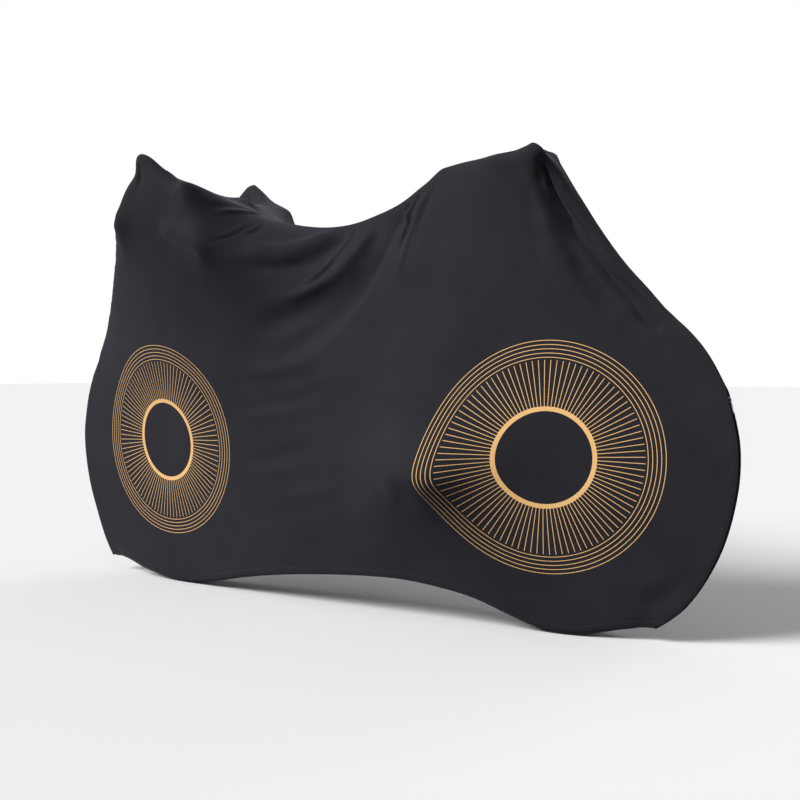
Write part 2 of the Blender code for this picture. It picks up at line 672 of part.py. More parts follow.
def zip_slider(material, collection, guides):
    base = CHAIN_TOP + CLEAR
    frame = zip_frame()
    plate = box(SLIDER, (0, 0, base + SLIDER[2] / 2))
    bmesh.ops.bevel(plate, geom=plate.edges[:], offset=SLIDER_ROUND, segments=2, affect="EDGES", profile=0.5)
    obj = new_object("zip_slider", plate, material, collection)
    obj.matrix_world = frame
    foot = base + SLIDER[2] - SINK
    arch = helper("slider_arch", box(ARCH, (0, 0, foot + ARCH[2] / 2)), frame)
    hole_size = (ARCH_HOLE[0], ARCH[1] * 2, ARCH_HOLE[1])
    hole = helper("slider_eye", box(hole_size, (0, 0, foot + SINK + ARCH_HOLE[1] / 2)), frame)
    cut_or_join(obj, arch, "UNION", guides)
    cut_or_join(obj, hole, "DIFFERENCE", guides)
    return obj


def zip_pull(material, collection, guides):
    level = CHAIN_TOP + CLEAR + SLIDER[2] + CLEAR + PULL_BAR / 2
    frame = zip_frame()
    tab = box((PULL[0], PULL[1], PULL_BAR), (PULL[0] / 2 - PULL_BAR / 2, 0, level))
    ends = [e for e in tab.edges if abs(e.verts[0].co.z - e.verts[1].co.z) > PULL_BAR / 2]
    bmesh.ops.bevel(tab, geom=ends, offset=PULL_ROUND, segments=4, affect="EDGES", profile=0.5)
    obj = new_object("zip_pull", tab, material, collection)
    obj.matrix_world = frame
    eye_size = (PULL_EYE[0], PULL_EYE[1], PULL_BAR * 2)
    eye = helper("pull_eye", box(eye_size, (PULL_BAR / 2 + PULL_EYE[0] / 2, 0, level)), frame)
    cut_or_join(obj, eye, "DIFFERENCE", guides)
    return obj


def main():
    for old in list(bpy.data.objects):
        bpy.data.objects.remove(old, do_unlink=True)
    cover = bpy.data.collections.new("bicycle_cover")
    guides = bpy.data.collections.new("guides")
    bpy.context.scene.collection.children.link(cover)
    bpy.context.scene.collection.children.link(guides)
    cloth = new_material("black_knit", (0.030, 0.031, 0.040), 0.85)
    tape = new_material("black_tape", (0.020, 0.020, 0.024), 0.80)
    chain = new_material("black_nylon", (0.028, 0.028, 0.032), 0.45)
    metal = new_material("grey_painted_metal", (0.160, 0.165, 0.175), 0.35, 0.6)
    side_panel("left", LEFT_HOLDS, FOLDS_LEFT, cloth, cover)
    side_panel("right", RIGHT_HOLDS, FOLDS_RIGHT, cloth, cover)
    tape_level = -(CLOTH + CLEAR)
    zip_strip("zip_tape_left", (-TAPE_EDGE, -CLEAR / 2), tape_level, TAPE, tape, cover)
    zip_strip("zip_tape_right", (CLEAR / 2, TAPE_EDGE), tape_level, TAPE, tape, cover)
    half = CHAIN_WIDTH / 2
    zip_strip("zip_chain", (-half, half), CHAIN_TOP, CHAIN_HEIGHT, chain, cover)
    zip_slider(metal, cover, guides)
    zip_pull(metal, cover, guides)


main()
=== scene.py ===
# %% [markdown]
# # A stretch cover on a road bicycle
#
# The cover is a big sock of thin black knit. Two side panels are sewn together along the front, the
# top and the back, and a zip opens the lower part of the back. It hangs on the saddle, the handlebar
# and the pedals, so its shape is all tension: smooth where the cloth is tight, and creased in fans
# where it is drawn from one hard point towards another.
#
# The rigid model gives the panels' true shape as a thick, coarse sheet. This lesson takes the outer
# side of that sheet, rounds it, lays the fine folds on it, and gives it a real cloth's thickness.

# %% Set up
import math

import bmesh
import bpy
import numpy as np
from mathutils import Matrix, Vector
from mathutils.bvhtree import BVHTree
from mathutils.kdtree import KDTree


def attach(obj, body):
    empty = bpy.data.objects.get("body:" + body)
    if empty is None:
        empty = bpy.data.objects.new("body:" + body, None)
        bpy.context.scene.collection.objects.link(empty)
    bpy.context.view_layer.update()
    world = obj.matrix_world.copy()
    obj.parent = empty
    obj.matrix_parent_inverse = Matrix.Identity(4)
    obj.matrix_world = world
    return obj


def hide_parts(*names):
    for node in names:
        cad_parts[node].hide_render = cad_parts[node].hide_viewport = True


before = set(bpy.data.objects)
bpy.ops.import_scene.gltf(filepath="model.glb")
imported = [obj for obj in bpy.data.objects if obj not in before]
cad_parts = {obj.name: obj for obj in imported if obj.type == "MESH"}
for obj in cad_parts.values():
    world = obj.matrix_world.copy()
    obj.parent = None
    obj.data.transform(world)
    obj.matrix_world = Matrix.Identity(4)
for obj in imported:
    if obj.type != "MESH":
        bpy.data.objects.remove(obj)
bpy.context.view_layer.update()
print("nodes:", sorted(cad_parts))

# %% [markdown]
# The folds below are written over the floor that the wheels stand on, with x = 0 halfway between
# the hubs. The model's origin is the saddle support, so each point is moved by this much.

# %% Places on the bicycle
SADDLE_SUPPORT = Vector((0.350, 0.0, 0.948))
HUB_X, HUB_Z = 0.51, 0.348

# %% [markdown]
# ## Colours and shader nodes
#
# Colours are picked on a screen as sRGB, but a shader works in linear light, so one function turns
# a hex value into linear numbers. One more function adds a shader node with its settings and links,
# which keeps each material short enough to read. Patterns are worked out from real sizes.

# %% Colour and node helpers
def linear(hex_value):
    """sRGB hex to linear RGBA."""
    channels = [int(hex_value[k:k + 2], 16) / 255 for k in (1, 3, 5)]
    return [c / 12.92 if c <= 0.04045 else ((c + 0.055) / 1.055) ** 2.4 for c in channels] + [1.0]


def add(tree, kind, settings=None, inputs=()):
    """A shader node. Its inputs come by name or in their order, and each is a value, another node's
    output socket, or another node, which stands for its first output."""
    node = tree.nodes.new("ShaderNode" + kind)
    for name, value in (settings or {}).items():
        setattr(node, name, value)
    for key, value in inputs.items() if isinstance(inputs, dict) else enumerate(inputs):
        if isinstance(value, bpy.types.Node):
            value = value.outputs[0]
        if isinstance(value, bpy.types.NodeSocket):
            tree.links.new(value, node.inputs[key])
        else:
            node.inputs[key].default_value = value
    return node


def wave_scale(spacing):
    """The wave texture's Scale for bands that lie this many metres apart."""
    return math.pi / (20 * spacing)


def new_material(name, **constants):
    """A material with a Principled shader whose constant values sit on its own sockets."""
    material = bpy.data.materials.new(name)
    material.use_nodes = True
    shader = material.node_tree.nodes["Principled BSDF"]
    for key, value in constants.items():
        shader.inputs[key.replace("_", " ")].default_value = value
    return material, material.node_tree, shader


# %% [markdown]
# ## The cloth's outer side
#
# The rigid panel is a closed sheet, 1.6 mm thick. Its rim faces the other panel along the seam, and
# along the hem it is as narrow as the sheet is thick. With the rim gone the two broad sides fall
# apart, and the outer one reaches further out.

# %% Take the outer side of a panel
SAME_POINT = 1e-5           # corners nearer than this, in metres, are one point
SEAM_REACH = 0.0036         # the rim at the seam lies this near the middle plane
SEAM_FACING = 0.9           # and faces it, so that its normal's y is at least this
HEM_RIM = 0.0022            # the rim at the hem is narrower than this
HEM_LEVEL = -0.80           # and lower than this
FLAT_PAIR = math.radians(50)            # triangles that bend less than this make a quad
SQUARE_PAIR = math.radians(65)          # if its corners are off a right angle by less than this


def islands(shape):
    """Groups of faces that hang together."""
    left = set(shape.faces)
    groups = []
    while left:
        todo = [left.pop()]
        group = []
        while todo:
            face = todo.pop()
            group.append(face)
            for edge in face.edges:
                for near in edge.link_faces:
                    if near in left:
                        left.remove(near)
                        todo.append(near)
        groups.append(group)
    return groups


def outer_side(node):
    """The outer skin of a CAD panel as quads."""
    shape = bmesh.new()
    shape.from_mesh(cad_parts[node].data)
    bmesh.ops.remove_doubles(shape, verts=shape.verts, dist=SAME_POINT)
    rim = []
    for face in shape.faces:
        width = 2 * face.calc_area() / max(edge.calc_length() for edge in face.edges)
        near_seam = all(abs(vert.co.y) < SEAM_REACH for vert in face.verts)
        at_seam = near_seam and abs(face.normal.y) > SEAM_FACING
        if at_seam or (width < HEM_RIM and face.calc_center_median().z < HEM_LEVEL):
            rim.append(face)
    bmesh.ops.delete(shape, geom=rim, context="FACES")
    broad = sorted(islands(shape), key=len, reverse=True)[:2]
    reach = [max(abs(vert.co.y) for face in group for vert in face.verts) for group in broad]
    keep = broad[reach.index(max(reach))]
    print(node, "rim faces", len(rim), "broad sides", [len(group) for group in broad])
    bmesh.ops.delete(shape, geom=list(set(shape.faces) - set(keep)), context="FACES")
    bmesh.ops.join_triangles(shape, faces=shape.faces, angle_face_threshold=FLAT_PAIR,
                             angle_shape_threshold=SQUARE_PAIR)
    return shape


# %% [markdown]
# Subdivision rounds the coarse sheet, but it also pulls the surface away from the points of the
# cage, most at the brake hoods. So the cage is pushed out by what its points fell short, in a few
# passes, which makes the smooth cloth pass through the points of the rigid one.

# %% Round the cloth
LEVELS = 2
PASSES = 3
MM = 0.001
PUSH = 0.85                 # of what a point fell short, in each pass; all of it would overshoot


def coordinates(mesh):
    """A mesh's points as an array."""
    flat = np.empty(len(mesh.vertices) * 3)
    mesh.vertices.foreach_get("co", flat)
    return flat.reshape(-1, 3)


def rounded(obj):
    """The object's mesh after subdivision."""
    step = obj.modifiers.new("round", "SUBSURF")
    step.levels = step.render_levels = LEVELS
    step.boundary_smooth = "ALL"
    graph = bpy.context.evaluated_depsgraph_get()
    mesh = bpy.data.meshes.new_from_object(obj.evaluated_get(graph))
    obj.modifiers.remove(step)
    return mesh


def round_through(obj):
    """Subdivide so that the surface passes through the cage's own points."""
    target = coordinates(obj.data)
    cage = target.copy()
    for _ in range(PASSES):
        mesh = rounded(obj)
        cage += PUSH * (target - coordinates(mesh)[:len(target)])
        obj.data.vertices.foreach_set("co", cage.ravel())
        obj.data.update()
        bpy.data.meshes.remove(mesh)
    mesh = rounded(obj)
    gap = np.linalg.norm(coordinates(mesh)[:len(target)] - target, axis=1)
    print(obj.name, "points", len(mesh.vertices), "largest gap mm", round(gap.max() / MM, 2))
    obj.data = mesh


# %% Close the seam and turn the hem in
SEAM_GAP = 0.0012           # border points nearer to the middle plane than this belong to the seam
SEAM_HALF = 0.00002         # and are brought this near to it
HEM_DRAWN = 0.0045          # the elastic draws the hem's edge in by this much


def finish_border(obj, side):
    """Bring the panels together along the seam, as the sewing does, and draw the hem's edge in."""
    shape = bmesh.new()
    shape.from_mesh(obj.data)
    for vert in shape.verts:
        if vert.is_boundary and abs(vert.co.y) < SEAM_GAP:
            vert.co.y = side * SEAM_HALF
        elif vert.is_boundary and vert.co.z < HEM_LEVEL and abs(vert.co.y) > SEAM_REACH + HEM_DRAWN:
            vert.co.y -= side * HEM_DRAWN
    shape.to_mesh(obj.data)
    shape.free()


# %% [markdown]
# ## Folds
#
# A fold is a soft ridge or trough along a short path on the cloth. Each row of the table gives its
# name, its width and height in millimetres (a trough has a height below zero), and the path's points
# as x and height over the floor; the cloth itself says how far out they lie. Folds in stretched knit
# start sharp where something pulls on the cloth, such as the saddle's corner, and fade as they run
# out, so each has a share of its length over which it rises and one over which it dies away.

# %% Table of folds, left side
FOLDS_LEFT = (  # name, width, height, rise, fade, points
    # from the saddle's rear corner down the back
    ("back_trough", 34, -31, .20, .36, ((.482, .940), (.493, .912), (.505, .880), (.521, .843),
                                        (.545, .797), (.575, .752), (.606, .714))),
    ("back_low", 18, -23, .42, .12, ((.524, .818), (.544, .791), (.571, .754), (.598, .720),
                                     (.627, .686), (.660, .649), (.692, .615), (.722, .588))),
    ("back_lip", 20, 8, .25, .20, ((.536, .780), (.562, .743), (.590, .706), (.620, .671),
                                   (.652, .635), (.684, .603))),
    ("back_split", 9, 6, .20, .40, ((.484, .920), (.489, .892), (.498, .864), (.510, .836))),
    ("back_haze", 30, -5, .30, .35, ((.540, .744), (.568, .696), (.603, .650), (.645, .608))),
    ("back_rim", 15, 6, .45, .35, ((.510, .871), (.526, .838), (.544, .804), (.567, .769),
                                   (.592, .735), (.618, .705), (.647, .675), (.675, .648))),
    ("soft_trough", 28, -4, .25, .50, ((.458, .883), (.463, .830), (.477, .771), (.499, .692))),
    ("soft_ridge", 26, 3, .30, .50, ((.486, .830), (.497, .784), (.511, .749), (.530, .700))),
    # the fan of pleats at the saddle's nose
    ("pleat_1", 13, -6, .12, .45, ((.162, .880), (.148, .849), (.135, .806), (.116, .768),
                                   (.098, .734))),
    ("pleat_1_ridge", 10, 4, .15, .40, ((.177, .886), (.163, .848), (.152, .809), (.140, .770))),
    ("pleat_2", 12, -6, .12, .45, ((.190, .901), (.171, .860), (.160, .813), (.152, .770),
                                   (.146, .736))),
    ("pleat_2_ridge", 12, 4, .12, .45, ((.212, .894), (.193, .862), (.180, .820), (.169, .777),
                                        (.163, .730), (.152, .684))),
    ("pleat_3", 14, -3, .15, .55, ((.230, .909), (.215, .872), (.200, .831), (.198, .788),
                                   (.196, .742))),
    # the long sags between the nose and the handlebar
    ("flank_edge", 26, 6, .12, .35, ((.169, .882), (.143, .832), (.124, .781), (.111, .733),
                                     (.092, .686), (.060, .636), (.009, .572), (-.037, .525))),
    ("sag_band", 60, -11, .06, .30, ((.145, .854), (.132, .811), (.113, .764), (.087, .715),
                                     (.050, .666), (.004, .620), (-.059, .577), (-.140, .548))),
    ("sag_step", 20, -6, .06, .35, ((.156, .878), (.130, .830), (.111, .780), (.097, .732),
                                    (.078, .685), (.046, .634), (-.005, .570))),
    ("sag_ridge", 24, 6, .15, .30, ((.078, .833), (.058, .790), (.036, .751), (-.002, .712),
                                    (-.056, .683), (-.114, .665))),
    ("sag_line", 9, -3, .15, .35, ((.031, .832), (.020, .786), (-.002, .746), (-.032, .711),
                                   (-.066, .687))),
    ("sag_line_ridge", 10, 3, .15, .35, ((.014, .831), (.008, .784), (-.013, .746), (-.045, .714),
                                         (-.077, .690))),
    ("sag_slope", 90, -7, .25, .30, ((.045, .748), (-.003, .689), (-.068, .643), (-.154, .613),
                                     (-.242, .606))),
    ("shelf_trough", 34, -7, .10, .35, ((.011, .819), (-.027, .770), (-.091, .744), (-.160, .744),
                                        (-.216, .762))),
    ("shelf_ridge", 48, 9, .25, .25, ((-.037, .832), (-.056, .802), (-.098, .781), (-.153, .780),
                                      (-.203, .789))),
    # shallow wrinkles one below the other, between the print's two parts
    ("smile_ridge_1", 26, 1.9, .35, .30, ((-.250, .505), (-.227, .508), (-.153, .512), (-.087, .525),
                                          (-.033, .540), (.020, .562))),
    ("smile_trough_1", 20, -1.4, .20, .45, ((-.262, .488), (-.236, .490), (-.160, .495),
                                            (-.087, .502), (-.030, .512))),
    ("smile_ridge_2", 20, 1.5, .55, .15, ((-.216, .454), (-.143, .464), (-.072, .476), (-.020, .487),
                                          (.025, .504))),
    ("smile_trough_2", 24, -1.6, .25, .40, ((-.270, .427), (-.165, .435), (-.076, .449),
                                            (.050, .476))),
    ("smile_ridge_3", 28, 1.5, .20, .60, ((-.262, .409), (-.139, .418), (-.065, .430), (.020, .445))),
    ("smile_trough_3", 20, -1.2, .30, .30, ((-.230, .386), (-.140, .391), (-.049, .403),
                                            (.043, .416))),
    ("smile_ridge_4", 34, 1.6, .30, .50, ((-.249, .337), (-.144, .351), (-.010, .368))),
    ("smile_trough_4", 30, -2.4, .25, .50, ((-.270, .308), (-.149, .324), (-.044, .340),
                                            (.060, .357))),
    ("smile_ridge_5", 22, 1.7, .35, .45, ((-.300, .268), (-.165, .289), (-.069, .304), (.020, .320))),
    ("smile_trough_5", 26, -1.7, .45, .35, ((-.205, .254), (-.092, .268), (.006, .285),
                                            (.170, .318))),
    ("smile_ridge_6", 32, 1.9, .45, .40, ((-.210, .216), (-.083, .237), (.008, .255), (.110, .281))),
    ("smile_trough_6", 40, -2.4, .35, .50, ((-.275, .176), (-.142, .196), (-.034, .219),
                                            (.090, .247))),
    ("low_trough", 46, -3, .40, .50, ((-.120, .128), (.046, .156), (.163, .189), (.219, .215))),
    # low at the back, drawn towards the rear end of the hem
    ("bottom_ridge", 34, 3, .30, .45, ((.650, .090), (.691, .113), (.727, .136), (.764, .173))),
    ("bottom_trough", 30, -4, .30, .45, ((.672, .060), (.699, .076), (.732, .094), (.772, .124))),
    # the brake hood, the lever in front of it and the handlebar behind it
    ("tip_crease", 12, -4, .20, .40, ((-.439, .984), (-.437, .951), (-.434, .923))),
    ("crescent_ridge", 44, 9, .30, .45, ((-.390, .844), (-.350, .828), (-.316, .812), (-.281, .799),
                                         (-.258, .792))),
    ("crescent_trough", 20, -2, .30, .20, ((-.396, .818), (-.367, .804), (-.333, .789), (-.291, .775),
                                           (-.262, .767))),
    ("bar_line", 9, -1.0, .20, .25, ((-.258, .792), (-.245, .797), (-.229, .804), (-.216, .815),
                                     (-.207, .831), (-.203, .851))),
    ("bar_line_ridge", 12, 1.2, .25, .30, ((-.247, .806), (-.228, .817), (-.219, .830),
                                           (-.213, .850))),
    ("bar_wedge", 16, -3, .30, .25, ((-.285, .888), (-.265, .882), (-.250, .886), (-.240, .893))),
    ("bar_wedge_ridge", 12, 4, .30, .25, ((-.262, .868), (-.248, .873), (-.232, .880))),
    ("bar_fan", 14, -3, .30, .40, ((-.200, .812), (-.190, .826), (-.194, .845))),
)

# %% [markdown]
# The other side hangs on a handlebar that is turned a little and on a pedal that stands further
# forward. It has the same kinds of fold at the same hard points, each a little displaced.

# %% Table of folds, right side
FOLDS_RIGHT = (
    # from the saddle's rear corner down the back
    ("back_trough_edge", 22, 9, .10, .40, ((.460, .945), (.490, .865), (.548, .765), (.625, .675))),
    ("back_trough_floor", 18, -11, .10, .40, ((.468, .930), (.500, .845), (.560, .742),
                                              (.640, .655))),
    ("soft_trough", 36, -7, .20, .50, ((.445, .890), (.455, .780), (.470, .680))),
    # from the saddle's nose
    ("nose_trough", 18, -8, .10, .50, ((.188, .892), (.160, .832), (.138, .768))),
    ("nose_ridge", 16, 6, .10, .50, ((.206, .890), (.184, .812), (.170, .740))),
    ("nose_band", 30, -8, .15, .40, ((.130, .860), (.108, .785), (.072, .700), (.020, .615))),
    ("nose_band_ridge", 24, 6, .20, .45, ((.090, .846), (.060, .770), (.020, .690), (-.040, .625))),
    # the sags towards the handlebar
    ("sag_ridge", 28, 8, .15, .35, ((.040, .828), (.000, .740), (-.070, .690), (-.170, .675))),
    ("sag_band", 26, -8, .15, .35, ((.030, .716), (-.030, .655), (-.110, .626), (-.200, .622))),
    ("sag_ridge_2", 26, 6, .20, .35, ((.000, .640), (-.070, .598), (-.160, .588))),
    ("shelf_light", 26, 5, .25, .35, ((-.190, .790), (-.110, .798), (-.040, .812))),
    # wrinkles between the wheels
    ("smile_ridge_1", 24, 6, .25, .35, ((-.270, .560), (-.170, .528), (-.060, .530))),
    ("smile_trough_1", 22, -6, .25, .35, ((-.262, .520), (-.165, .488), (-.050, .490))),
    ("smile_ridge_2", 24, 4, .25, .35, ((-.260, .468), (-.150, .440), (-.020, .430))),
    # from the pedal, upwards to both sides
    ("pedal_fold_1", 26, 6, .10, .60, ((-.030, .255), (.050, .310), (.140, .390), (.220, .470))),
    ("pedal_fold_2", 24, -5, .10, .60, ((-.035, .235), (.060, .270), (.170, .330))),
    ("pedal_fold_3", 24, 5, .10, .60, ((-.120, .250), (-.200, .300), (-.290, .370))),
    # the handlebar, its drop, the brake hood and the lever
    ("bar_ridge", 26, 7, .15, .35, ((-.325, .892), (-.278, .820), (-.225, .792), (-.180, .790))),
    ("bar_trough", 26, -7, .20, .35, ((-.320, .890), (-.285, .872), (-.225, .846))),
    ("drop_trough", 22, -6, .10, .60, ((-.300, .758), (-.255, .720), (-.190, .698))),
    ("hood_trough", 18, -6, .15, .40, ((-.460, .970), (-.458, .930), (-.450, .890))),
    ("lever_fold", 26, 5, .15, .50, ((-.535, .836), (-.450, .815), (-.360, .792), (-.300, .780))),
    # low at the back
    ("bottom_ridge", 34, 6, .25, .35, ((.560, .030), (.630, .070), (.700, .120))),
)
print("folds:", len(FOLDS_LEFT), "left,", len(FOLDS_RIGHT), "right")

# %% Lay the folds on the cloth
SEAM_STILL = 0.003          # folds leave the cloth alone this close to the seam and the hem
SEAM_CALM = 0.012           # and grow to their full height over this distance from there
MIDDLE_CLEAR = 0.005        # a trough stops this far from the middle plane
NARROW = 19                 # folds narrower than this, in millimetres, get a finer mesh
REFINE_REACH = 1.3          # as far as this many widths from their path
CURVE_STEPS = 8             # pieces of a smooth curve between two of its points
PAST_SEAM = 0.02            # how far out a point past the seam is looked for


def smooth_path(points, steps=CURVE_STEPS):
    """Catmull-Rom curve through a few points."""
    p = np.asarray(points, float)
    p = np.vstack([2 * p[0] - p[1], p, 2 * p[-1] - p[-2]])
    out = []
    for a, b, c, d in zip(p, p[1:], p[2:], p[3:]):
        for t in np.linspace(0, 1, steps, endpoint=False):
            out.append(0.5 * (2 * b + (c - a) * t + (2 * a - 5 * b + 4 * c - d) * t ** 2
                              + (3 * b - a - 3 * c + d) * t ** 3))
    return np.array(out + [p[-2]])


def along_path(points, path):
    """Each point's distance from a path, and the share of the path's length there."""
    best = np.full(len(points), np.inf)
    share = np.zeros(len(points))
    lengths = np.linalg.norm(np.diff(path, axis=0), axis=1)
    run = np.concatenate([[0.0], np.cumsum(lengths)])
    for k, length in enumerate(lengths):
        way = (path[k + 1] - path[k]) / length
        t = np.clip((points - path[k]) @ way, 0, length)
        gap = np.linalg.norm(points - path[k] - t[:, None] * way, axis=1)
        closer = gap < best
        best[closer] = gap[closer]
        share[closer] = (run[k] + t[closer]) / run[-1]
    return best, share


def ease(x):
    """0 to 1 with a soft start and a soft end."""
    x = np.clip(x, 0, 1)
    return x * x * (3 - 2 * x)


def vertex_normals(mesh):
    """A mesh's normals at its points, as an array."""
    flat = np.empty(len(mesh.vertices) * 3)
    mesh.vertices.foreach_get("normal", flat)
    return flat.reshape(-1, 3)


def border(mesh):
    """Points of the mesh's open edge."""
    shape = bmesh.new()
    shape.from_mesh(mesh)
    edge = np.array([v.co for v in shape.verts if v.is_boundary])
    shape.free()
    return edge


def edge_distance(points, edge):
    """Distance from each point to the nearest border point, found with a tree."""
    tree = KDTree(len(edge))
    for k, point in enumerate(edge):
        tree.insert(point, k)
    tree.balance()
    return np.array([tree.find(point)[2] for point in points])


def cloth_tree(obj):
    """A tree that finds where a line meets the cloth."""
    shape = bmesh.new()
    shape.from_mesh(obj.data)
    tree = BVHTree.FromBMesh(shape)
    shape.free()
    return tree


def fold_path(path, side, tree):
    """A fold's points brought onto the cloth from the side, and joined by a smooth curve."""
    places = []
    for x, z in path:
        start = Vector((x, side, z)) - SADDLE_SUPPORT
        hit = tree.ray_cast(start, Vector((0, -side, 0)))[0]
        if hit is None:                         # past the seam, so the cloth's nearest point
            hit = tree.find_nearest(Vector((start.x, PAST_SEAM * side, start.z)))[0]
        places.append(hit)
    return smooth_path(places)


def refine(obj, folds, side):
    """Halve the faces near the narrow folds, so that their sides are several faces wide."""
    shape = bmesh.new()
    shape.from_mesh(obj.data)
    middles = np.array([face.calc_center_median() for face in shape.faces])
    tree = BVHTree.FromBMesh(shape)
    near = np.zeros(len(middles), bool)
    for _name, width, _height, _start, _end, path in folds:
        if width < NARROW:
            near |= along_path(middles, fold_path(path, side, tree))[0] < REFINE_REACH * width * MM
    shape.faces.ensure_lookup_table()
    edges = {edge for k in np.flatnonzero(near) for edge in shape.faces[k].edges}
    bmesh.ops.subdivide_edges(shape, edges=list(edges), cuts=1, smooth=1.0, use_grid_fill=True)
    shape.to_mesh(obj.data)
    shape.free()
    print(obj.name, "faces refined", int(near.sum()), "now", len(obj.data.polygons))


def lay_folds(obj, folds, side):
    """Move the cloth's points out along their normals by the sum of the folds."""
    mesh = obj.data
    points = coordinates(mesh)
    tree = cloth_tree(obj)
    height = np.zeros(len(points))
    for _name, width, rise, start, end, path in folds:
        gap, share = along_path(points, fold_path(path, side, tree))
        strength = ease(share / start) * ease((1 - share) / end)
        height += rise * MM * strength * np.exp(-(gap / (width / 2 * MM)) ** 2)
    calm = ease((edge_distance(points, border(mesh)) - SEAM_STILL) / SEAM_CALM)
    moved = points + (height * calm)[:, None] * vertex_normals(mesh)
    moved[:, 1] = side * np.maximum(side * moved[:, 1], np.minimum(side * points[:, 1], MIDDLE_CLEAR))
    mesh.vertices.foreach_set("co", moved.ravel())
    mesh.update()
    print(obj.name, "folds move the cloth by up to mm", round(np.abs(height).max() / MM, 1))


# %% [markdown]
# The print follows the cloth, so its coordinates are taken before the folds: a UV map that holds
# each point's x and height over the floor, in metres, just as the flat panel was printed.

# %% Flat coordinates for the print
def flat_map(obj):
    """The panel's flat coordinates, and each point's distance from its edges and from the hem."""
    edge = border(obj.data)
    hem = edge[(np.abs(edge[:, 1]) > SEAM_REACH) & (edge[:, 2] < HEM_LEVEL)]
    for name, line in (("to_edge", edge), ("to_hem", hem)):
        layer = obj.data.attributes.new(name, "FLOAT", "POINT")
        layer.data.foreach_set("value", edge_distance(coordinates(obj.data), line))
    layer = obj.data.uv_layers.new(name="panel")
    points = coordinates(obj.data) + np.array(SADDLE_SUPPORT)
    corners = np.empty(len(obj.data.loops), int)
    obj.data.loops.foreach_get("vertex_index", corners)
    layer.data.foreach_set("uv", points[corners][:, [0, 2]].ravel())


# %% Build both panels
CLOTH = 0.0008              # the knit's thickness


def cloth_panel(name, node, folds, side):
    """One panel as a thin cloth in place of its CAD node; side is -1 on the left, 1 on the right."""
    shape = outer_side(node)
    mesh = bpy.data.meshes.new(name)
    shape.to_mesh(mesh)
    shape.free()
    obj = bpy.data.objects.new(name, mesh)
    bpy.context.scene.collection.objects.link(obj)
    round_through(obj)
    refine(obj, folds, side)
    finish_border(obj, side)
    flat_map(obj)
    lay_folds(obj, folds, side)
    obj.data.shade_smooth()
    wall = obj.modifiers.new("thickness", "SOLIDIFY")
    wall.thickness = CLOTH
    wall.offset = -1
    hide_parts(node)
    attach(obj, "root")
    return obj


left = cloth_panel("cloth_left", "side_panel_left", FOLDS_LEFT, -1)
right = cloth_panel("cloth_right", "side_panel_right", FOLDS_RIGHT, 1)

# %% [markdown]
# ## Black knit
#
# Polyester and elastane, knitted in fine ribs and left matte. The loops catch light at a grazing
# angle, which the sheen gives. A real rib is about 0.8 mm wide; at this distance it would vanish, so
# it is drawn 2.4 mm wide and very faint. A slow noise a hand wide keeps the black from looking flat,
# and a finer one gives it the small unevenness of cloth that has been folded away.

# %% Seams and hem in the knit
TOPSTITCH = 0.0050          # the seam's row of stitches lies this far from it
HEM_STITCH = 0.0180         # and the hem's this far from the edge, where its turned cloth ends
STITCH_WIDTH = 0.0011
STITCH_PITCH = 0.0034
STITCH_SLANT = 0.7          # lets the stitches follow the seam where it runs up as well as along
STITCH_SHARE = -0.4         # the part of the sine that is thread: most of each stitch's length
THREAD_EDGE = 0.6           # of the row's height, from where on it is thread


def seams(tree, flat):
    """Height and thread of the stitched rows along the seam and the hem."""
    rows = []
    for attribute, at in (("to_edge", TOPSTITCH), ("to_hem", HEM_STITCH)):
        distance = add(tree, "Attribute", {"attribute_name": attribute}).outputs["Fac"]
        past = add(tree, "Math", {"operation": "SUBTRACT"}, (distance, at))
        away = add(tree, "Math", {"operation": "DIVIDE"}, (past, STITCH_WIDTH))
        square = add(tree, "Math", {"operation": "MULTIPLY"}, (away, away))
        minus = add(tree, "Math", {"operation": "MULTIPLY"}, (square, -1.0))
        rows.append(add(tree, "Math", {"operation": "EXPONENT"}, (minus,)))
    both = add(tree, "Math", {"operation": "MAXIMUM"}, rows)
    groove = add(tree, "Math", {"operation": "MULTIPLY"}, (both, -1.0))
    # the stitches themselves: a sine that runs along the seam, cut off where it is low
    split = add(tree, "SeparateXYZ", None, (flat.outputs["UV"],))
    slanted = add(tree, "Math", {"operation": "MULTIPLY"}, (split.outputs["Y"], STITCH_SLANT))
    along = add(tree, "Math", {"operation": "ADD"}, (split.outputs["X"], slanted))
    turn = add(tree, "Math", {"operation": "MULTIPLY"}, (along, 2 * math.pi / STITCH_PITCH))
    wave = add(tree, "Math", {"operation": "SINE"}, (turn,))
    dash = add(tree, "Math", {"operation": "GREATER_THAN"}, (wave, STITCH_SHARE))
    middle = add(tree, "Math", {"operation": "GREATER_THAN"}, (both, THREAD_EDGE))
    thread = add(tree, "Math", {"operation": "MULTIPLY"}, (middle, dash))
    return groove, thread


# %% Knit material
RIB = 0.0024                # from one rib of the knit to the next, drawn three times its real size
COURSE = 0.0030             # from one row of loops to the next, drawn as coarsely


